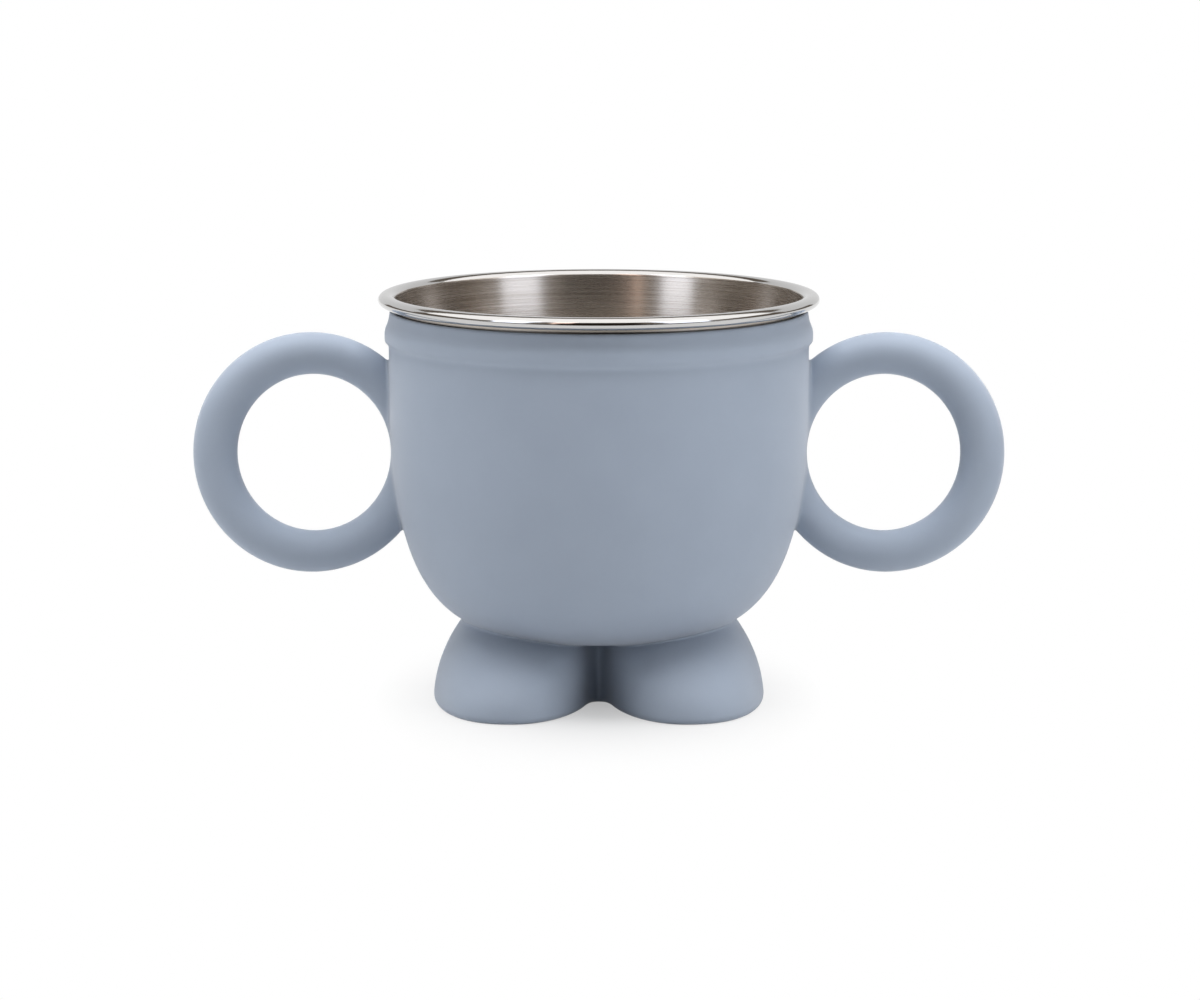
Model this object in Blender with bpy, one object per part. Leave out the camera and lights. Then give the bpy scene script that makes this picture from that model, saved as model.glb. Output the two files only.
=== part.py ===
"""Training cup: a steel cup with a rolled rim, held in a moulded silicone sleeve.

The sleeve carries two ring handles, let into its wall, and stands on a base of two rounded feet.
Lengths are metres and +Z is up. The origin is on the table, under the cup's axis.
"""
import math

import bmesh
import bpy
import numpy as np

MM = 0.001

# Steel cup: the rim is rolled out and under into an elliptical bead, with its free edge inside the roll.
SHEET = 0.5 * MM
RIM_RADIUS = 39.05 * MM
RIM_TOP = 72.2 * MM
ROLL_HALF_WIDTH = 1.55 * MM
ROLL_HALF_HEIGHT = 1.11 * MM
CURL_END = math.radians(-110)
FLARE_REACH = 6.5 * MM
FLARE_TURN = 1.0 * MM

# Sleeve: a superellipse bowl under a collar band that swells below the rim and draws in at its tip.
BOWL_RADIUS = 37.17 * MM
BOWL_TOP = 61.0 * MM
BOWL_DEPTH = 49.85 * MM
BOWL_SIDE_POWER = 4.15
BOWL_FLOOR_POWER = 2.95
COLLAR_TOP = 69.35 * MM
COLLAR_MIDDLE = 64.9 * MM
COLLAR_SWELL = 0.74 * MM
COLLAR_REACH = 1.85 * MM
COLLAR_POWER = 2.6
COLLAR_DRAW = 0.25 * MM
COLLAR_DRAW_FROM = 66.5 * MM
WALL_AT_COLLAR = 1.55 * MM
WALL_OF_BOWL = 2.3 * MM
WALL_GROWS_OVER = 0.3

# Handles: rings in the plane of the cup's axis, a little thicker at their outer end.
HANDLE_OUT = 50.75 * MM
HANDLE_UP = 43.68 * MM
RING_HALF_WIDTH = 17.3 * MM
RING_HALF_HEIGHT = 17.74 * MM
RING_TUBE = 3.7 * MM
RING_TUBE_SWELL = 0.23 * MM
CHANNEL_SKIN = 0.9 * MM

# Foot base: two domed lobes that lean in as they rise, joined by a web.
FOOT_OUTER = 29.4 * MM
FOOT_INNER = 1.9 * MM
FOOT_DEPTH = 29.3 * MM
FOOT_LEAN = 5.02 * MM
FOOT_FRONT_LEAN = 11.0 * MM
FOOT_LEAN_HEIGHT = 13.6 * MM
FOOT_LEAN_POWER = 1.85
FOOT_TOP = 17.5 * MM
SOLE_EDGE = 1.2 * MM
WEB_HALF_WIDTH = 3.2 * MM

# Clearance that the pieces keep where they seat, and how finely round forms are faceted.
SEAT_GAP = 0.3 * MM
TURN_STEPS = 56
RING_STEPS = 40
TUBE_SIDES = 14

SILICONE = (0.27, 0.32, 0.40)
STEEL = (0.56, 0.54, 0.51)


def clear_scene():
    for old in list(bpy.data.objects):
        bpy.data.objects.remove(old, do_unlink=True)


def finish(name, colour, roughness, metallic):
    material = bpy.data.materials.new(name + "_finish")
    material.use_nodes = True
    shader = material.node_tree.nodes["Principled BSDF"]
    shader.inputs["Base Color"].default_value = (*colour, 1.0)
    shader.inputs["Roughness"].default_value = roughness
    shader.inputs["Metallic"].default_value = metallic
    return material


def silicone(name):
    return finish(name, SILICONE, 0.75, 0.0)


def brushed_steel(name):
    return finish(name, STEEL, 0.28, 1.0)


def add_object(name, mesh):
    item = bpy.data.objects.new(name, mesh)
    bpy.context.scene.collection.objects.link(item)
    return item


def as_cutter(item):
    item.hide_render = True
    item.display_type = "WIRE"
    return item


def cut(item, cutter):
    modifier = item.modifiers.new("cut_" + cutter.name, "BOOLEAN")
    modifier.operation = "DIFFERENCE"
    modifier.solver = "EXACT"
    modifier.object = cutter


def shade(item):
    item.data.shade_smooth()
    item.data.set_sharp_from_angle(angle=math.radians(35))


def evenly(line, count):
    """The same line, read at count points that are evenly spaced along its length."""
    lengths = np.linalg.norm(np.diff(line, axis=0), axis=1)
    along = np.concatenate(([0.0], np.cumsum(lengths)))
    stops = np.linspace(0.0, along[-1], count)
    return np.column_stack([np.interp(stops, along, line[:, axis]) for axis in (0, 1)])


def inset(line, distance, closed=False):
    """The line moved to its right by distance, seen along its own direction."""
    if closed:
        along = np.roll(line, -1, axis=0) - np.roll(line, 1, axis=0)
    else:
        along = np.gradient(line, axis=0)
    along /= np.linalg.norm(along, axis=1)[:, None]
    to_right = np.column_stack((along[:, 1], -along[:, 0]))
    return line + to_right * np.reshape(distance, (-1, 1))


def bezier(controls, count):
    """A Bezier curve through the first and last of its three or four control points."""
    t = np.linspace(0.0, 1.0, count)[:, None]
    points = [np.array(control) * np.ones_like(t) for control in controls]
    while len(points) > 1:
        points = [a * (1 - t) + b * t for a, b in zip(points, points[1:])]
    return points[0]


def on_axis(line):
    """The line with its last point on the axis."""
    line = line.copy()
    line[-1, 0] = 0.0
    return line


def bowl_line(count):
    """Outside of the bowl, from the collar's foot down to the axis: a superellipse."""
    turn = np.linspace(0.0, math.pi / 2, 600)
    radius = BOWL_RADIUS * np.cos(turn) ** (2 / BOWL_SIDE_POWER)
    height = BOWL_TOP - BOWL_DEPTH * np.sin(turn) ** (2 / BOWL_FLOOR_POWER)
    return on_axis(evenly(np.column_stack((radius, height)), count))


def collar_line():
    """Outside of the collar, from its tip down to the bowl: a flat-topped bell over the bowl's radius."""
    height = np.linspace(COLLAR_TOP, BOWL_TOP, 11)
    bell = np.exp(-np.abs((height - COLLAR_MIDDLE) / COLLAR_REACH) ** COLLAR_POWER)
    draw = np.maximum(height - COLLAR_DRAW_FROM, 0.0) / (COLLAR_TOP - COLLAR_DRAW_FROM)
    return np.column_stack((BOWL_RADIUS + COLLAR_SWELL * bell - COLLAR_DRAW * draw ** 2, height))


def wall_along_bowl(count):
    """Silicone thickness along the bowl: thin at the collar, full a third of the way down."""
    reach = np.clip(np.linspace(0.0, 1.0, count) / WALL_GROWS_OVER, 0.0, 1.0)
    return WALL_AT_COLLAR + (WALL_OF_BOWL - WALL_AT_COLLAR) * reach * reach * (3 - 2 * reach)


def inside_bowl(count, depth):
    """The bowl's line moved into the wall by depth, which may vary along it."""
    return on_axis(inset(bowl_line(count), depth))


def rim_line():
    """Middle of the sheet in the rolled rim: an ellipse from its free end, over the crest, to the wall."""
    turn = np.linspace(CURL_END, math.pi, 11)[:, None]
    centre = np.array((RIM_RADIUS - ROLL_HALF_WIDTH, RIM_TOP - ROLL_HALF_HEIGHT))
    size = np.array((ROLL_HALF_WIDTH, ROLL_HALF_HEIGHT)) - SHEET / 2
    return centre + size * np.hstack((np.cos(turn), np.sin(turn)))


def wall_line():
    """Middle of the steel sheet below the rim: a flare that draws in to the wall, then the bowl."""
    bowl = inside_bowl(13, wall_along_bowl(13) + SEAT_GAP + SHEET / 2)
    flare_top = rim_line()[-1]
    flare = bezier(
        (
            flare_top,
            (flare_top[0], flare_top[1] - FLARE_TURN),
            (bowl[0, 0], bowl[0, 1] + FLARE_REACH),
            bowl[0],
        ),
        6,
    )
    return np.vstack((flare, bowl[1:]))


def turned(name, line):
    """A solid turned about +Z from a line that ends on the axis and runs down its outer side."""
    mesh = bpy.data.meshes.new(name)
    points = [(radius, 0.0, height) for radius, height in line]
    mesh.from_pydata(points, [(k, k + 1) for k in range(len(points) - 1)], [])
    item = add_object(name, mesh)
    screw = item.modifiers.new("turn", "SCREW")
    screw.axis = "Z"
    screw.angle = math.tau
    screw.steps = TURN_STEPS
    screw.render_steps = TURN_STEPS
    screw.use_merge_vertices = True
    screw.merge_threshold = 0.00001
    screw.use_smooth_shade = True
    return item


def cap(shape, row):
    """Fill a ring that is its own mirror image with strips from each point to the one across."""
    last = len(row) // 2
    shape.faces.new((row[0], row[1], row[-1]))
    for k in range(1, last - 1):
        shape.faces.new((row[k], row[k + 1], row[-k - 1], row[-k]))
    shape.faces.new((row[last - 1], row[last], row[last + 1]))


def lofted(name, rings, cyclic):
    """A closed skin over rings of equal point counts, which close up or have their ends capped."""
    shape = bmesh.new()
    rows = [[shape.verts.new(point) for point in ring] for ring in rings]
    pairs = list(zip(rows, rows[1:]))
    if cyclic:
        pairs.append((rows[-1], rows[0]))
    else:
        cap(shape, rows[0])
        cap(shape, rows[-1])
    for low, high in pairs:
        for k in range(len(low)):
            after = (k + 1) % len(low)
            shape.faces.new((low[k], low[after], high[after], high[k]))
    bmesh.ops.recalc_face_normals(shape, faces=shape.faces)
    mesh = bpy.data.meshes.new(name)
    shape.to_mesh(mesh)
    shape.free()
    item = add_object(name, mesh)
    shade(item)
    return item


def steel_cup():
    middle = np.vstack((rim_line()[:-1], wall_line()))
    outside = on_axis(inset(middle, -SHEET / 2))
    inside = on_axis(inset(middle, SHEET / 2))
    cup = turned("steel_cup", np.vstack((inside[::-1], outside)))
    cup.data.materials.append(brushed_steel("steel_cup"))
    return cup


def sleeve():
    seat = on_axis(inset(wall_line(), -(SHEET / 2 + SEAT_GAP)))
    lining = seat[seat[:, 1] < COLLAR_TOP]
    skin = np.vstack((collar_line(), bowl_line(17)[1:]))
    body = turned("silicone_sleeve", np.vstack((lining[::-1], skin)))
    body.data.materials.append(silicone("silicone_sleeve"))
    return body


def core(name, skin):
    """The sleeve's hollow, grown by skin: what a handle channel must not cut into."""
    bowl = inside_bowl(13, wall_along_bowl(13) - skin)
    brim = np.array(((0.0, COLLAR_TOP), (bowl[0, 0], COLLAR_TOP)))
    return as_cutter(turned(name, np.vstack((brim, bowl))))


def ring(name, side, grow):
    """A round tube carried along an ellipse that stands in the XZ plane."""
    rings = []
    for around in np.linspace(0.0, math.tau, RING_STEPS, endpoint=False):
        tube = RING_TUBE + RING_TUBE_SWELL * math.cos(around) + grow
        to_side = side * math.cos(around)
        to_top = math.sin(around)
        centre = np.array((RING_HALF_WIDTH * to_side, 0.0, RING_HALF_HEIGHT * to_top))
        outward = np.array((RING_HALF_HEIGHT * to_side, 0.0, RING_HALF_WIDTH * to_top))
        outward /= np.linalg.norm(outward)
        turns = np.linspace(0.0, math.tau, TUBE_SIDES, endpoint=False)
        across = np.array((0.0, 1.0, 0.0))
        rings.append([centre + tube * (math.cos(t) * outward + math.sin(t) * across) for t in turns])
    item = lofted(name, rings, cyclic=True)
    item.location = (side * HANDLE_OUT, 0.0, HANDLE_UP)
    return item


def handle(name, side, body, channel_floor, root_floor):
    """A ring whose root stops at the floor of its channel in the sleeve's wall."""
    channel = as_cutter(ring(name + "_channel", side, SEAT_GAP))
    cut(channel, channel_floor)
    cut(body, channel)
    item = ring(name, side, 0.0)
    item.data.materials.append(silicone(name))
    cut(item, root_floor)
    item.parent = body
    return item


def foot_outline(height, edge):
    """Plan of the base at a height, drawn in by edge: two ellipses, joined by a parabola at the web."""
    lean = (height / FOOT_LEAN_HEIGHT) ** FOOT_LEAN_POWER
    half_width = (FOOT_OUTER - FOOT_LEAN * lean - FOOT_INNER) / 2
    centre = FOOT_INNER + half_width
    depth = FOOT_DEPTH - FOOT_FRONT_LEAN * lean
    join = math.acos((WEB_HALF_WIDTH - centre) / half_width)
    around = np.linspace(0.0, join, 13)
    lobe = np.column_stack((centre + half_width * np.cos(around), depth * np.sin(around)))
    slope = -depth * math.cos(join) / (half_width * math.sin(join))
    bend = slope / (2 * WEB_HALF_WIDTH)
    across = np.linspace(WEB_HALF_WIDTH, 0.0, 5)[1:]
    neck = depth * math.sin(join) - bend * WEB_HALF_WIDTH ** 2
    web = np.column_stack((across, neck + bend * across ** 2))
    quarter = np.vstack((lobe, web))
    back = np.vstack((quarter, quarter[-2::-1] * (-1, 1)))
    outline = np.vstack((back, back[-2:0:-1] * (1, -1)))
    return [(x, y, height) for x, y in inset(outline, -edge, closed=True)]


def foot_base(body):
    """The lobes and their web, lofted from the sole's rounded edge up to the bowl that seats on them."""
    levels = []
    for turn in np.linspace(0.0, math.pi / 2, 4):
        levels.append((SOLE_EDGE * (1 - math.cos(turn)), SOLE_EDGE * (1 - math.sin(turn))))
    for height in np.linspace(SOLE_EDGE, FOOT_TOP, 7)[1:]:
        levels.append((height, 0.0))
    base = lofted("foot_base", [foot_outline(height, edge) for height, edge in levels], cyclic=False)
    base.data.materials.append(silicone("foot_base"))
    bowl = inside_bowl(18, -SEAT_GAP)
    lid = np.array(((0.0, BOWL_TOP), (bowl[0, 0], BOWL_TOP)))
    cut(base, as_cutter(turned("bowl_seat", np.vstack((lid, bowl)))))
    base.parent = body
    return base


clear_scene()
steel_cup()
silicone_sleeve = sleeve()
channel_core = core("channel_core", CHANNEL_SKIN)
root_core = core("root_core", CHANNEL_SKIN + SEAT_GAP)
handle("left_handle", -1, silicone_sleeve, channel_core, root_core)
handle("right_handle", 1, silicone_sleeve, channel_core, root_core)
foot_base(silicone_sleeve)
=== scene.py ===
"""Looks of the training cup: a steel cup in a matte silicone sleeve with ring handles and two feet."""
import math

import bmesh
import bpy
import numpy as np
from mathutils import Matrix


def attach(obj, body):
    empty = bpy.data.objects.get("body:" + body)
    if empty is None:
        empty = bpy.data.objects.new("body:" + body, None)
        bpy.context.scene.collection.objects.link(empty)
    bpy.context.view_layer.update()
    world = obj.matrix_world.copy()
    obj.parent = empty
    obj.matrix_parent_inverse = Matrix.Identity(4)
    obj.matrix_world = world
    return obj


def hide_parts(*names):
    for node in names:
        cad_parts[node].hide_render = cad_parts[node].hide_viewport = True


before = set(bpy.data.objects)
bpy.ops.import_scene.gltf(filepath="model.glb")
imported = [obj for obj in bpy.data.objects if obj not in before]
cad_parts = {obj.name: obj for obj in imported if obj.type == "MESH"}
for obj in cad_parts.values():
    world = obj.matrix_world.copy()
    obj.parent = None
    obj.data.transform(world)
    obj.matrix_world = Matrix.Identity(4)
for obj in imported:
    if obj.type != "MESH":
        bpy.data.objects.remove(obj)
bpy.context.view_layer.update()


# Silicone sleeve
# The soft outer of the cup, compression moulded in one colour of matte silicone. A collar band swells
# under the rim, and the bowl below it closes in a broad rounded floor. It grips the steel cup.

MM = 0.001
BOWL_RADIUS = 37.17 * MM
BOWL_TOP = 61.0 * MM
BOWL_DEPTH = 49.85 * MM
SIDE_POWER = 4.15
FLOOR_POWER = 2.95
COLLAR_TOP = 69.35 * MM
COLLAR_MIDDLE = 64.9 * MM
COLLAR_SWELL = 0.74 * MM
COLLAR_REACH = 1.85 * MM
COLLAR_POWER = 2.6
LEDGE_REACH = 1.43 * MM
LEDGE_POWER = 9.0
COLLAR_DRAW = 0.25 * MM
COLLAR_DRAW_FROM = 66.5 * MM
TIP_SOFTNESS = 0.6 * MM
WALL_AT_COLLAR = 1.55 * MM
WALL_OF_BOWL = 2.3 * MM
WALL_GROWS_OVER = 0.3
SHEET = 0.5 * MM
SEAT_GAP = 0.1 * MM
AROUND = 224
CURVE_STEPS = 2000
COLLAR_STEPS = 120
BOWL_STEPS = 600
SECTION_STEPS = 330
SOFTENING_STEP = 0.05 * MM
MERGE_WITHIN = 0.0005 * MM


def linear(code):
    """The linear RGBA of an sRGB hex colour: each channel undone by the sRGB curve."""
    channels = np.array([int(code[k:k + 2], 16) for k in (1, 3, 5)]) / 255
    curved = np.where(channels <= 0.04045, channels / 12.92, ((channels + 0.055) / 1.055) ** 2.4)
    return (*curved.tolist(), 1.0)


def fill(tree, node, inputs):
    """Fills inputs of a shader node, each with a plain value or from the output that feeds it."""
    for name, value in inputs.items():
        if isinstance(value, bpy.types.NodeSocket):
            tree.links.new(value, node.inputs[name])
        else:
            node.inputs[name].default_value = value


def add_node(tree, kind, inputs=None, **settings):
    """Adds one shader node with its settings and inputs."""
    made = tree.nodes.new(kind)
    for name, value in settings.items():
        setattr(made, name, value)
    fill(tree, made, inputs or {})
    return made


def blank_material(name):
    """A new material, its node tree and the shader in it."""
    material = bpy.data.materials.new(name)
    material.use_nodes = True
    return material, material.node_tree, material.node_tree.nodes["Principled BSDF"]


def moulded_silicone():
    """Matte silicone as it leaves a bead-blasted mould: soft broad highlights, a pale bloom at grazing
    angles, a grain of about 0.4 mm and a faint unevenness of tone over a few millimetres."""
    material, tree, shader = blank_material("moulded_silicone")
    place = add_node(tree, "ShaderNodeTexCoord").outputs["Object"]
    cloud = add_node(tree, "ShaderNodeTexNoise", {"Vector": place, "Scale": 1 / (9 * MM), "Detail": 3.0})
    tone = add_node(tree, "ShaderNodeMix", {
        0: cloud.outputs["Fac"],
        6: linear("#939eae"),
        7: linear("#99a4b4"),
    }, data_type="RGBA")
    grain = add_node(tree, "ShaderNodeTexNoise", {"Vector": place, "Scale": 1 / (0.4 * MM), "Detail": 2.0})
    relief = add_node(tree, "ShaderNodeBump", {
        "Height": grain.outputs["Fac"],
        "Strength": 0.25,
        "Distance": 0.02 * MM,
    })
    fill(tree, shader, {
        "Base Color": tone.outputs[2],
        "Normal": relief.outputs["Normal"],
        "Roughness": 0.68,
        "IOR": 1.41,
        "Sheen Weight": 0.3,
        "Sheen Roughness": 0.45,
    })
    return material


silicone = moulded_silicone()


def evenly(line, count):
    """The same line, read at count points evenly spaced along its length."""
    steps = np.linalg.norm(np.diff(line, axis=0), axis=1)
    along = np.concatenate(([0.0], np.cumsum(steps)))
    stops = np.linspace(0.0, along[-1], count)
    return np.column_stack([np.interp(stops, along, line[:, axis]) for axis in (0, 1)])


def bezier(controls, count):
    """The Bezier curve of its control points, by repeated mixing of neighbours."""
    t = np.linspace(0.0, 1.0, count)[:, None]
    points = [np.array(control) * np.ones_like(t) for control in controls]
    while len(points) > 1:
        points = [a * (1 - t) + b * t for a, b in zip(points, points[1:])]
    return points[0]


def moved_right(line, distance):
    """The line moved by distance to its right, square to its own direction."""
    along = np.gradient(line, axis=0)
    along /= np.linalg.norm(along, axis=1)[:, None]
    return line + np.column_stack((along[:, 1], -along[:, 0])) * np.reshape(distance, (-1, 1))


def to_axis(line):
    """The line with its last point set on the cup's axis."""
    return np.vstack((line[:-1], ((0.0, line[-1, 1]),)))


def bowl_line(count):
    """Outside of the bowl, from the collar's foot to the axis: the superellipse
    (r / radius) ** side power + (drop / depth) ** floor power = 1."""
    turn = np.linspace(0.0, math.pi / 2, CURVE_STEPS)
    radius = BOWL_RADIUS * np.cos(turn) ** (2 / SIDE_POWER)
    height = BOWL_TOP - BOWL_DEPTH * np.sin(turn) ** (2 / FLOOR_POWER)
    return to_axis(evenly(np.column_stack((radius, height)), count))


def collar_line(count):
    """Outside of the collar, from its tip down to the bowl: the bowl's radius and a swell that falls off
    above its middle as exp(-(rise / reach) ** power) and on the ledge below it as
    1 / (1 + (drop / reach) ** power), less a square law that draws the tip in."""
    height = np.linspace(COLLAR_TOP, BOWL_TOP, count)
    rise = np.maximum(height - COLLAR_MIDDLE, 0.0) / COLLAR_REACH
    drop = np.maximum(COLLAR_MIDDLE - height, 0.0) / LEDGE_REACH
    swell = COLLAR_SWELL * np.exp(-rise ** COLLAR_POWER) / (1 + drop ** LEDGE_POWER)
    draw = np.maximum(height - COLLAR_DRAW_FROM, 0.0) / (COLLAR_TOP - COLLAR_DRAW_FROM)
    return np.column_stack((BOWL_RADIUS + swell - COLLAR_DRAW * draw ** 2, height))


def wall_along_bowl(count):
    """Silicone thickness along the bowl: a smooth step from the collar's wall to the bowl's."""
    reach = np.clip(np.linspace(0.0, 1.0, count) / WALL_GROWS_OVER, 0.0, 1.0)
    return WALL_AT_COLLAR + (WALL_OF_BOWL - WALL_AT_COLLAR) * reach * reach * (3 - 2 * reach)


def softened(line, reach):
    """The line with its corners rounded: each point is the mean of its neighbours within reach."""
    length = np.linalg.norm(np.diff(line, axis=0), axis=1).sum()
    fine = evenly(line, 2 * int(length / SOFTENING_STEP) + 1)
    side = int(reach / length * (len(fine) - 1) / 2)
    window = np.hanning(2 * side + 3)[1:-1]
    padded = np.vstack((
        2 * fine[0] - fine[side:0:-1],
        fine,
        2 * fine[-1] - fine[-2:-side - 2:-1],
    ))
    mean = [np.convolve(padded[:, axis], window / window.sum(), mode="valid") for axis in (0, 1)]
    return np.column_stack(mean)


def spun(line, around):
    """A grid of points: the line carried around the cup's axis in even steps."""
    angle = np.linspace(0.0, math.tau, around, endpoint=False)
    radius = line[:, :1]
    height = np.broadcast_to(line[:, 1:], (len(line), around))
    return np.stack((radius * np.cos(angle), radius * np.sin(angle), height), axis=-1)


def skin(name, points, material, ring_closes=False, marks=None):
    """A piece over a grid of points whose columns close up; rows close up too where ring_closes.
    Points that meet, such as those at a pole, are merged, and the faces are turned outwards."""
    rows, columns, _ = points.shape
    index = np.arange(rows * columns).reshape(rows, columns)
    index = np.hstack((index, index[:, :1]))
    if ring_closes:
        index = np.vstack((index, index[:1]))
    corners = (index[:-1, :-1], index[:-1, 1:], index[1:, 1:], index[1:, :-1])
    quads = np.stack(corners, axis=-1).reshape(-1, 4)
    mesh = bpy.data.meshes.new(name)
    mesh.from_pydata(points.reshape(-1, 3).tolist(), [], quads.tolist())
    for mark, values in (marks or {}).items():
        attribute = mesh.attributes.new(mark, "FLOAT", "POINT")
        attribute.data.foreach_set("value", values.reshape(-1).astype(np.float32))
    shape = bmesh.new()
    shape.from_mesh(mesh)
    bmesh.ops.remove_doubles(shape, verts=shape.verts, dist=MERGE_WITHIN)
    bmesh.ops.recalc_face_normals(shape, faces=shape.faces)
    shape.to_mesh(mesh)
    shape.free()
    mesh.shade_smooth()
    piece = bpy.data.objects.new(name, mesh)
    bpy.context.scene.collection.objects.link(piece)
    piece.data.materials.append(material)
    return piece


# The steel's rim and flare set where the sleeve's lining runs, so their sizes are here.
RIM_RADIUS = 39.05 * MM
RIM_TOP = 72.2 * MM
ROLL_HALF_WIDTH = 1.55 * MM
ROLL_HALF_HEIGHT = 1.11 * MM
FLARE_TURN = 0.4 * MM
FLARE_REACH = 2.5 * MM
CUP_CLEARANCE = 0.3 * MM
WALL_STEPS = 60
FLARE_STEPS = 24
roll_centre = np.array((RIM_RADIUS - ROLL_HALF_WIDTH, RIM_TOP - ROLL_HALF_HEIGHT))
flare_top = roll_centre - (ROLL_HALF_WIDTH - SHEET / 2, 0.0)


def wall_line(bowl_count, flare_count):
    """Middle of the steel below the rim: a Bezier flare that draws in to the wall, then the bowl's line."""
    inset = wall_along_bowl(bowl_count) + CUP_CLEARANCE + SHEET / 2
    bowl = to_axis(moved_right(bowl_line(bowl_count), inset))
    flare = bezier((
        flare_top,
        flare_top - (0.0, FLARE_TURN),
        bowl[0] + (0.0, FLARE_REACH),
        bowl[0],
    ), flare_count)
    return np.vstack((flare, bowl[1:]))


lining = to_axis(moved_right(wall_line(WALL_STEPS, FLARE_STEPS), -(SHEET / 2 + SEAT_GAP)))
lining = lining[lining[:, 1] < COLLAR_TOP]
outside = np.vstack((collar_line(COLLAR_STEPS), bowl_line(BOWL_STEPS)[1:]))
section = softened(np.vstack((lining[::-1], outside)), TIP_SOFTNESS)
section = to_axis(to_axis(evenly(section, SECTION_STEPS))[::-1])
sleeve = skin("sleeve_skin", spun(section, AROUND), silicone)
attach(sleeve, "sleeve")
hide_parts("silicone_sleeve")


# Foot base
# Two rounded feet under the bowl, joined by a web, in the same silicone and the same mould. They lean
# in as they rise, most at the front, and run into the bowl with a small fillet. The soles are flat.

FOOT_OUTER = 29.4 * MM
FOOT_INNER = 0.7 * MM
FOOT_DEPTH = 30.2 * MM
FOOT_CORNER_POWER = 2.4
FOOT_LEAN = 5.02 * MM
FOOT_FRONT_LEAN = 13.5 * MM
FOOT_LEAN_HEIGHT = 13.6 * MM
FOOT_LEAN_POWER = 1.85
FOOT_FRONT_POWER = 2.6
FOOT_TOP = 17.5 * MM
SOLE_EDGE = 1.2 * MM
WEB_HALF_WIDTH = 2.05 * MM
FOOT_FILLET = 0.5 * MM
SUNK = 1.0 * MM
SINK_ROUNDS = 12
SINK_SHARE = 0.6
OFF_AXIS = 1e-9
LOBE_STEPS = 49
WEB_STEPS = 17
EDGE_STEPS = 10
RISE_STEPS = 80
CAP_STEPS = 10


def over_bowl(points):
    """Height of points over the bowl's skin and the skin's outward normal there: the superellipse's
    value over the length of its slope, which is the distance close to the skin."""
    radius = np.maximum(np.hypot(points[..., 0], points[..., 1]), OFF_AXIS)
    drop = np.maximum(BOWL_TOP - points[..., 2], 0.0)
    value = (radius / BOWL_RADIUS) ** SIDE_POWER + (drop / BOWL_DEPTH) ** FLOOR_POWER - 1
    outward = SIDE_POWER / BOWL_RADIUS * (radius / BOWL_RADIUS) ** (SIDE_POWER - 1)
    downward = FLOOR_POWER / BOWL_DEPTH * (drop / BOWL_DEPTH) ** (FLOOR_POWER - 1)
    slope = np.hypot(outward, downward)
    flat = outward / slope / radius
    normal = np.stack((points[..., 0] * flat, points[..., 1] * flat, -downward / slope), axis=-1)
    return value / slope, normal


def rooted(points, sideways, fillet):
    """Points of a piece that runs into the bowl, flared by a fillet: at a height under the fillet's
    radius they move along the skin by radius - sqrt(radius^2 - (radius - height)^2), away from the
    piece's middle, and below the skin they stop at a fixed depth inside the wall."""
    height, normal = over_bowl(points)
    along = sideways - (sideways * normal).sum(-1, keepdims=True) * normal
    left = np.clip(fillet - height, 0.0, fillet)
    flare = fillet - np.sqrt(fillet ** 2 - left ** 2)
    moved = points + flare[..., None] * along
    for _ in range(SINK_ROUNDS):
        height, normal = over_bowl(moved)
        moved = moved + SINK_SHARE * np.maximum(-SUNK - height, 0.0)[..., None] * normal
    return moved


def blend_into_bowl(piece, reach):
    """Shading normals of a piece that runs into the bowl: within reach of the skin they turn to the skin's
    own normal, by the share 1 - height / reach, so that the joint shows no line."""
    mesh = piece.data
    points = np.empty(3 * len(mesh.vertices), np.float32)
    mesh.vertices.foreach_get("co", points)
    own = np.empty_like(points)
    mesh.vertex_normals.foreach_get("vector", own)
    height, normal = over_bowl(points.reshape(-1, 3))
    share = np.clip(1 - height / reach, 0.0, 1.0)[:, None]
    mixed = own.reshape(-1, 3) * (1 - share) + normal * share
    mesh.normals_split_custom_set_from_vertices(mixed / np.linalg.norm(mixed, axis=1)[:, None])


def foot_outline(height):
    """Plan of the base at a height: each side an ellipse, whose outer half is a fuller superellipse, and,
    within the web's width, a parabola that meets both with the same slope. Points run from +X round
    by +Y."""
    lean = (height / FOOT_LEAN_HEIGHT) ** FOOT_LEAN_POWER
    half_width = (FOOT_OUTER - FOOT_LEAN * lean - FOOT_INNER) / 2
    centre = FOOT_INNER + half_width
    depth = FOOT_DEPTH - FOOT_FRONT_LEAN * (height / FOOT_LEAN_HEIGHT) ** FOOT_FRONT_POWER
    join = math.acos((WEB_HALF_WIDTH - centre) / half_width)
    around = np.linspace(0.0, join, LOBE_STEPS)
    fullness = np.where(around < math.pi / 2, 2 / FOOT_CORNER_POWER, 1.0)
    reach = np.sign(np.cos(around)) * np.abs(np.cos(around)) ** fullness
    lobe = np.column_stack((centre + half_width * reach, depth * np.sin(around) ** fullness))
    bend = -depth * math.cos(join) / (half_width * math.sin(join)) / (2 * WEB_HALF_WIDTH)
    across = np.linspace(WEB_HALF_WIDTH, 0.0, WEB_STEPS)[1:]
    web = np.column_stack((across, depth * math.sin(join) + bend * (across ** 2 - WEB_HALF_WIDTH ** 2)))
    quarter = np.vstack((lobe, web))
    back = np.vstack((quarter, quarter[-2::-1] * (-1, 1)))
    return np.vstack((back, back[-2:0:-1] * (1, -1)))


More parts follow.
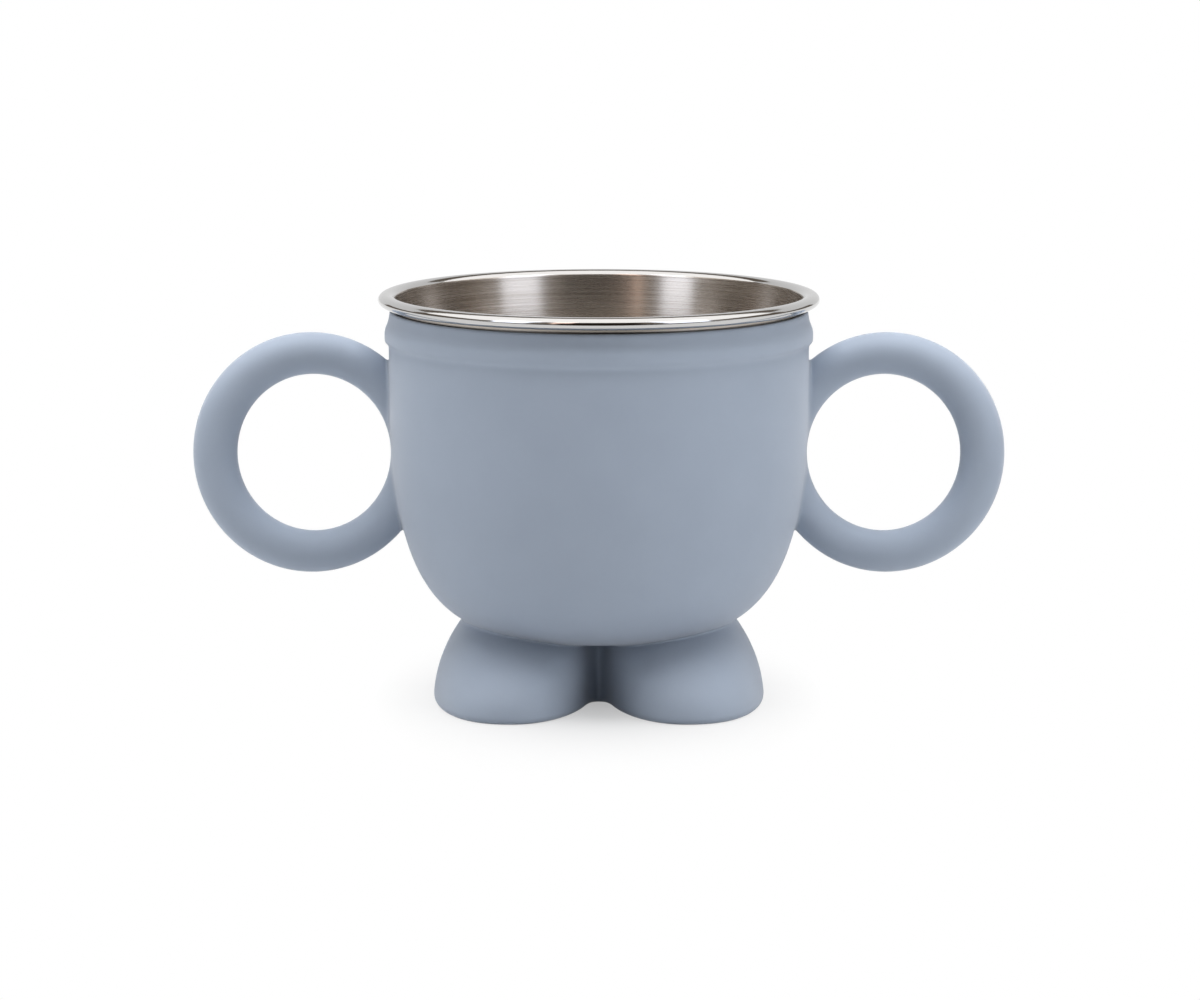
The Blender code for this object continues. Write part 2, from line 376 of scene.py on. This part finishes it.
def foot_grid():
    """Rows of the base: the sole drawn out from its middle line, its rounded edge, the leaning sides up
    into the bowl, and the hidden top drawn in again. Returns the points and their sideways directions."""
    turn = np.linspace(0.0, math.pi / 2, EDGE_STEPS)
    rise = np.linspace(SOLE_EDGE, FOOT_TOP, RISE_STEPS)[1:]
    heights = np.concatenate((SOLE_EDGE * (1 - np.cos(turn)), rise))
    edges = np.concatenate((SOLE_EDGE * (1 - np.sin(turn)), np.zeros_like(rise)))
    rows = []
    aside = []
    for height, edge in zip(heights, edges):
        outline = foot_outline(height)
        along = np.roll(outline, -1, axis=0) - np.roll(outline, 1, axis=0)
        along /= np.linalg.norm(along, axis=1)[:, None]
        out = np.column_stack((along[:, 1], -along[:, 0]))
        rows.append(np.column_stack((outline - edge * out, np.full(len(outline), height))))
        aside.append(np.column_stack((out, np.zeros(len(out)))))
    drawn = np.linspace(0.0, 1.0, CAP_STEPS)[:-1]
    sole = [rows[0] * (1, share, 1) for share in drawn]
    top = [rows[-1] * (1, share, 1) for share in drawn[::-1]]
    points = np.array(sole + rows + top)
    sideways = np.array(aside[:1] * len(sole) + aside + aside[-1:] * len(top))
    return points, sideways


foot_points, foot_sideways = foot_grid()
feet = skin("foot_base_skin", rooted(foot_points, foot_sideways, FOOT_FILLET), silicone)
blend_into_bowl(feet, FOOT_FILLET)
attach(feet, "sleeve")
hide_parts("foot_base")


# Ring handles
# A full ring on each side, round in section and a little thicker at its outer end, moulded in silicone.
# Each is sunk into the wall, so its hole just clears the bowl, and a small fillet runs round its root.

HANDLE_OUT = 50.75 * MM
HANDLE_UP = 43.68 * MM
RING_HALF_WIDTH = 17.3 * MM
RING_HALF_HEIGHT = 17.74 * MM
RING_TUBE = 3.7 * MM
RING_TUBE_SWELL = 0.23 * MM
HANDLE_FILLET = 0.7 * MM
RING_STEPS = 480
TUBE_STEPS = 96


def ring_grid(side, along_count, round_count):
    """A circle carried along an upright ellipse beside the cup, with its radius eased from the outer end
    to the root. Returns the points and the section's own outward directions."""
    along = np.linspace(0.0, math.tau, along_count, endpoint=False)[:, None]
    round_angle = np.linspace(0.0, math.tau, round_count, endpoint=False)[None, :]
    out_x = side * RING_HALF_HEIGHT * np.cos(along)
    out_z = RING_HALF_WIDTH * np.sin(along)
    size = np.hypot(out_x, out_z)
    across = np.cos(round_angle)
    sideways = np.stack(np.broadcast_arrays(
        out_x / size * across,
        np.sin(round_angle),
        out_z / size * across,
    ), axis=-1)
    tube = (RING_TUBE + RING_TUBE_SWELL * np.cos(along))[..., None]
    centre = np.stack((
        side * (HANDLE_OUT + RING_HALF_WIDTH * np.cos(along)),
        np.zeros_like(along),
        HANDLE_UP + RING_HALF_HEIGHT * np.sin(along),
    ), axis=-1)
    return centre + tube * sideways, sideways


for side_name, side in (("left", -1), ("right", 1)):
    ring_points, ring_sideways = ring_grid(side, RING_STEPS, TUBE_STEPS)
    ring = skin(
        side_name + "_ring_handle",
        rooted(ring_points, ring_sideways, HANDLE_FILLET),
        silicone,
        ring_closes=True,
    )
    blend_into_bowl(ring, HANDLE_FILLET)
    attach(ring, "sleeve")
    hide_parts(side_name + "_handle")


# Steel cup
# The drawn stainless cup that holds the drink. Its rim is rolled out and under into a bead and polished;
# the wall and floor are brushed round and round on a lathe. It drops into the sleeve and lifts out.

CURL_END = math.radians(-110)
POLISH_DOWN = 0.75 * MM
BRUSH_LENGTH = 40 * MM
BRUSH_PITCH = 0.1 * MM
ROLL_STEPS = 52
CUP_FLARE_STEPS = 22


def brushed_stainless():
    """Stainless steel brushed round the cup's axis: fine lines run round the wall, so highlights stretch
    up and down it. Real lines are about 0.05 mm apart; they are drawn at 0.1 mm, so that they show."""
    material, tree, shader = blank_material("brushed_stainless")
    place = add_node(tree, "ShaderNodeSeparateXYZ", {
        "Vector": add_node(tree, "ShaderNodeTexCoord").outputs["Object"],
    })
    across = add_node(tree, "ShaderNodeAttribute", attribute_name="along_wall")
    lines_at = add_node(tree, "ShaderNodeCombineXYZ", {
        "X": place.outputs["X"],
        "Y": place.outputs["Y"],
        "Z": across.outputs["Fac"],
    })
    drawn = add_node(tree, "ShaderNodeVectorMath", {
        0: lines_at.outputs["Vector"],
        1: (1 / BRUSH_LENGTH, 1 / BRUSH_LENGTH, 1 / BRUSH_PITCH),
    }, operation="MULTIPLY")
    noise = add_node(tree, "ShaderNodeTexNoise", {
        "Vector": drawn.outputs["Vector"],
        "Scale": 1.0,
        "Detail": 1.0,
    })
    lines = add_node(tree, "ShaderNodeMapRange", {
        "Value": noise.outputs["Fac"],
        "From Min": 0.3,
        "From Max": 0.7,
    })
    tone = add_node(tree, "ShaderNodeMix", {
        0: lines.outputs["Result"],
        6: linear("#b2aaa0"),
        7: linear("#d8d1ca"),
    }, data_type="RGBA")
    rough = add_node(tree, "ShaderNodeMapRange", {
        "Value": lines.outputs["Result"],
        "To Min": 0.24,
        "To Max": 0.29,
    })
    relief = add_node(tree, "ShaderNodeBump", {
        "Height": lines.outputs["Result"],
        "Strength": 0.05,
        "Distance": 0.004 * MM,
    })
    round_axis = add_node(tree, "ShaderNodeTangent", direction_type="RADIAL", axis="Z")
    fill(tree, shader, {
        "Base Color": tone.outputs[2],
        "Roughness": rough.outputs["Result"],
        "Normal": relief.outputs["Normal"],
        "Tangent": round_axis.outputs["Tangent"],
        "Metallic": 1.0,
        "Anisotropic": 0.74,
        "Anisotropic Rotation": 0.25,
    })
    return material


def polished_stainless():
    """Stainless steel buffed to a mirror on the rim, with the faint waviness that rolling leaves."""
    material, tree, shader = blank_material("polished_stainless")
    place = add_node(tree, "ShaderNodeTexCoord").outputs["Object"]
    wave = add_node(tree, "ShaderNodeTexNoise", {"Vector": place, "Scale": 1 / (5 * MM), "Detail": 2.0})
    rough = add_node(tree, "ShaderNodeMapRange", {
        "Value": wave.outputs["Fac"],
        "To Min": 0.06,
        "To Max": 0.14,
    })
    fill(tree, shader, {
        "Roughness": rough.outputs["Result"],
        "Base Color": linear("#cac9c8"),
        "Metallic": 1.0,
    })
    return material


def roll_line(count):
    """Middle of the sheet in the rolled rim: an ellipse, from the curl's free end under the rim, round
    the outside, over the crest and down to the wall."""
    turn = np.linspace(CURL_END, math.pi, count)[:, None]
    size = np.array((ROLL_HALF_WIDTH, ROLL_HALF_HEIGHT)) - SHEET / 2
    return roll_centre + size * np.hstack((np.cos(turn), np.sin(turn)))


middle = np.vstack((roll_line(ROLL_STEPS)[:-1], wall_line(WALL_STEPS, CUP_FLARE_STEPS)))
along_sheet = np.concatenate(([0.0], np.cumsum(np.linalg.norm(np.diff(middle, axis=0), axis=1))))
inside_face = to_axis(moved_right(middle, SHEET / 2))
outside_face = to_axis(moved_right(middle, -SHEET / 2))
cup_line = np.vstack((inside_face[::-1], outside_face))
cup_marks = np.concatenate((along_sheet[::-1], along_sheet))
cup = skin(
    "steel_cup_skin",
    spun(cup_line, AROUND),
    brushed_stainless(),
    marks={"along_wall": np.repeat(cup_marks, AROUND)},
)
cup.data.materials.append(polished_stainless())
face_middle = np.empty(3 * len(cup.data.polygons), np.float32)
cup.data.polygons.foreach_get("center", face_middle)
face_middle = face_middle.reshape(-1, 3)
in_roll = np.hypot(face_middle[:, 0], face_middle[:, 1]) > roll_centre[0]
on_rim = in_roll | (face_middle[:, 2] > RIM_TOP - POLISH_DOWN)
cup.data.polygons.foreach_set("material_index", on_rim.astype(np.int32))
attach(cup, "cup")
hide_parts("steel_cup")


# Studio
# A white floor that runs out of sight and a room of plain soft lights. Broad boxes overhead and at the
# sides light the silicone. The metal sees a dim warm room, with strips in front, a sheet overhead, a lit
# sweep behind and a dark card, so that the brushed wall has bright and dark bands.

FLOOR_HALF = 4.0
FLOOR_DROP = 0.05 * MM
# The floor's painted white glow lifts the cup's shadow: SHADOW_LIFT of it under the cup, all of it past
# SHADOW_REACH.
SHADOW_REACH = 0.06
SHADOW_LIFT = 0.35
SHADOW_SHAPE = (1.5, 0.72, 0.0)
PAPER_TONE = "#c6c6c6"
FLOOR_BOUNCE = 0.66
SKY_LEVEL = 0.2
OVERHEAD_WATTS = 29.5
LEFT_WALL_WATTS = 11.0
RIGHT_WALL_WATTS = 11.2
SHEET_WATTS = 44.0
LEFT_WATTS = 6.6
RIGHT_WATTS = 7.7
WARM_WATTS = 1.7
COOL_LIGHT = "#e8f0ff"
WARM_LIGHT = "#ffdece"
ROOM_TONE = "#e3d2c1"
SWEEP_RADIUS = 2.2
SWEEP_HEIGHT = 1.6
SWEEP_LEVEL = 0.8
SWEEP_TURN = math.radians(66)
WING_TURN = math.radians(34)
WING_FOOT = 0.55
SWEEP_STEPS = 40
FELT_HALF = 0.6
FELT_FROM = -0.2
FELT_BACK = -1.5
FELT_TOP = 1.1
FELT_LIFT = 0.002
LIGHTS_AIM = (0.0, 0.0, 0.05)
WHITE = (1.0, 1.0, 1.0, 1.0)


def white_paper():
    """Matt white paper, which the lamps just bring to white. As the camera and the metal see it, a painted
    white
    glow is mixed in: under the cup it lifts the cup's shadow, and it grows until the paper is plain glowing
    white a few centimetres away. From below it is clear, so that the soles can be looked at."""
    material, tree, shader = blank_material("white_paper")
    path = add_node(tree, "ShaderNodeLightPath")
    seen = add_node(tree, "ShaderNodeMath", {
        0: path.outputs["Is Camera Ray"],
        1: path.outputs["Is Glossy Ray"],
    }, operation="MAXIMUM")
    place = add_node(tree, "ShaderNodeVectorMath", {
        0: add_node(tree, "ShaderNodeTexCoord").outputs["Object"],
        1: SHADOW_SHAPE,
    }, operation="MULTIPLY")
    away = add_node(tree, "ShaderNodeVectorMath", {0: place.outputs["Vector"]}, operation="LENGTH")
    # Share of painted white glow: SHADOW_LIFT under the cup, rising to all of it at SHADOW_REACH, so the
    # cup's shadow is lifted and fades out.
    painted_glow_share = add_node(tree, "ShaderNodeMapRange", {
        "Value": away.outputs["Value"],
        "From Max": SHADOW_REACH,
        "To Min": SHADOW_LIFT,
    })
    share = add_node(tree, "ShaderNodeMath", {
        0: seen.outputs["Value"],
        1: painted_glow_share.outputs["Result"],
    }, operation="MULTIPLY")
    tone = add_node(tree, "ShaderNodeMix", {
        0: path.outputs["Is Diffuse Ray"],
        6: linear(PAPER_TONE),
        7: (FLOOR_BOUNCE, FLOOR_BOUNCE, FLOOR_BOUNCE, 1.0),
    }, data_type="RGBA")
    fill(tree, shader, {
        "Base Color": tone.outputs[2],
        "Roughness": 0.9,
        "Specular IOR Level": 0.0,
    })
    # The glow is no lamp: painted light that lifts the cup's shadow where the camera and the metal see the
    # floor.
    white = add_node(tree, "ShaderNodeEmission", {"Color": WHITE, "Strength": 1.0})
    paper = add_node(tree, "ShaderNodeMixShader", {
        0: share.outputs["Value"],
        1: shader.outputs["BSDF"],
        2: white.outputs["Emission"],
    })
    one_sided = add_node(tree, "ShaderNodeMixShader", {
        0: add_node(tree, "ShaderNodeNewGeometry").outputs["Backfacing"],
        1: paper.outputs["Shader"],
        2: add_node(tree, "ShaderNodeBsdfTransparent").outputs["BSDF"],
    })
    fill(tree, tree.nodes["Material Output"], {"Surface": one_sided.outputs["Shader"]})
    return material


def stage_sheet(name, points, faces, material):
    """A bare sheet of the studio that is no part of the cup."""
    mesh = bpy.data.meshes.new(name)
    mesh.from_pydata(points, [], faces)
    sheet = bpy.data.objects.new(name, mesh)
    bpy.context.scene.collection.objects.link(sheet)
    sheet.data.materials.append(material)
    return sheet


floor_corners = [
    (x * FLOOR_HALF, y * FLOOR_HALF, -FLOOR_DROP)
    for x, y in ((-1, -1), (1, -1), (1, 1), (-1, 1))
]
stage_sheet("paper_floor", floor_corners, [(0, 1, 2, 3)], white_paper())

world = bpy.data.worlds.new("white_sky")
bpy.context.scene.world = world
world.use_nodes = True
sky = world.node_tree
sky.nodes.clear()
ray = add_node(sky, "ShaderNodeLightPath")
seen_sky = add_node(sky, "ShaderNodeMath", {
    0: ray.outputs["Is Camera Ray"],
    1: ray.outputs["Is Transmission Ray"],
}, operation="MAXIMUM")
sky_level = add_node(sky, "ShaderNodeMix", {
    0: seen_sky.outputs["Value"],
    2: SKY_LEVEL,
    3: 1.0,
}, data_type="FLOAT")
sky_tone = add_node(sky, "ShaderNodeMix", {
    0: ray.outputs["Is Glossy Ray"],
    6: WHITE,
    7: linear(ROOM_TONE),
}, data_type="RGBA")
background = add_node(sky, "ShaderNodeBackground", {
    "Color": sky_tone.outputs[2],
    "Strength": sky_level.outputs[0],
})
add_node(sky, "ShaderNodeOutputWorld", {"Surface": background.outputs["Background"]})


def soft_box(name, place, size, watts, tone="#ffffff"):
    """A rectangular soft light that faces the cup and that the camera doesn't see."""
    lamp = bpy.data.lights.new(name, "AREA")
    lamp.shape = "RECTANGLE"
    lamp.size, lamp.size_y = size
    lamp.energy = watts
    lamp.color = linear(tone)[:3]
    box = bpy.data.objects.new(name, lamp)
    bpy.context.scene.collection.objects.link(box)
    box.location = place
    to_cup = np.subtract(LIGHTS_AIM, place)
    yaw = math.atan2(to_cup[0], -to_cup[1])
    pitch = math.atan2(math.hypot(to_cup[0], to_cup[1]), -to_cup[2])
    box.rotation_euler = (pitch, 0.0, math.pi + yaw)
    box.visible_camera = False
    return box


for broad_box in (
    soft_box("overhead_box", (0.0, 0.0, 1.3), (1.25, 1.25), OVERHEAD_WATTS),
    soft_box("left_wall", (-1.7, 0.2, 0.6), (1.4, 1.2), LEFT_WALL_WATTS),
    soft_box("right_wall", (1.6, -0.5, 0.6), (1.4, 1.2), RIGHT_WALL_WATTS),
):
    broad_box.visible_glossy = False
for metal_light in (
    soft_box("overhead_sheet", (0.0, -0.15, 1.3), (5.0, 2.1), SHEET_WATTS),
    soft_box("left_strip", (-1.216, -1.122, 0.8), (0.62, 1.5), LEFT_WATTS, COOL_LIGHT),
    soft_box("right_strip", (1.212, -1.127, 0.8), (0.8, 1.5), RIGHT_WATTS, COOL_LIGHT),
    soft_box("warm_strip", (-0.513, -1.41, 0.8), (0.28, 1.5), WARM_WATTS, WARM_LIGHT),
):
    metal_light.visible_diffuse = False


def lit_paper():
    """White paper that is lit from behind, as evenly as a lamp."""
    material, tree, shader = blank_material("lit_paper")
    fill(tree, shader, {
        "Base Color": (0.0, 0.0, 0.0, 1.0),
        "Specular IOR Level": 0.0,
        "Emission Color": WHITE,
        "Emission Strength": SWEEP_LEVEL,
    })
    return material


def dark_felt():
    """Dark brown felt, which gives the metal something dark to show."""
    material, tree, shader = blank_material("dark_felt")
    fill(tree, shader, {
        "Base Color": linear("#241d18"),
        "Roughness": 1.0,
        "Specular IOR Level": 0.0,
    })
    return material


sweep_turn = np.linspace(-SWEEP_TURN, SWEEP_TURN, SWEEP_STEPS)
sweep_foot = np.where(np.abs(sweep_turn) > WING_TURN, WING_FOOT, 0.0)
sweep_points = [
    (SWEEP_RADIUS * math.sin(turn), SWEEP_RADIUS * math.cos(turn), height)
    for heights in (sweep_foot, np.full(SWEEP_STEPS, SWEEP_HEIGHT))
    for turn, height in zip(sweep_turn, heights)
]
sweep_faces = [(k, k + 1, k + SWEEP_STEPS + 1, k + SWEEP_STEPS) for k in range(SWEEP_STEPS - 1)]
felt_points = [
    (-FELT_HALF, FELT_FROM, FELT_LIFT),
    (FELT_HALF, FELT_FROM, FELT_LIFT),
    (FELT_HALF, FELT_BACK, FELT_LIFT),
    (-FELT_HALF, FELT_BACK, FELT_LIFT),
    (FELT_HALF, FELT_BACK, FELT_TOP),
    (-FELT_HALF, FELT_BACK, FELT_TOP),
]
for sheet in (
    stage_sheet("white_sweep", sweep_points, sweep_faces, lit_paper()),
    stage_sheet("dark_card", felt_points, [(0, 1, 2, 3), (3, 2, 4, 5)], dark_felt()),
):
    sheet.visible_camera = False
    sheet.visible_diffuse = False
    sheet.visible_shadow = False


# Camera
# A long lens about a metre in front of the cup. It stands above the rim and looks down by some nine
# degrees, so that the back of the steel's inside shows over the front of the rim.

FRAME_WIDTH = 1200
CAMERA_BACK = 1.05
CAMERA_UP = 0.1928
AIM_UP = 0.0351
AIM_RIGHT = 0.0002
FOCAL_PIXELS = 5975.0
SENSOR = 36.0
lens = bpy.data.cameras.new("long_lens")
lens.sensor_width = SENSOR
lens.lens = FOCAL_PIXELS / FRAME_WIDTH * SENSOR
camera = bpy.data.objects.new("camera", lens)
bpy.context.scene.collection.objects.link(camera)
camera.location = (AIM_RIGHT, -CAMERA_BACK, CAMERA_UP)
camera.rotation_euler = (math.pi / 2 - math.atan2(CAMERA_UP - AIM_UP, CAMERA_BACK), 0.0, 0.0)
bpy.context.scene.camera = camera
bpy.context.scene.view_settings.view_transform = "Standard"
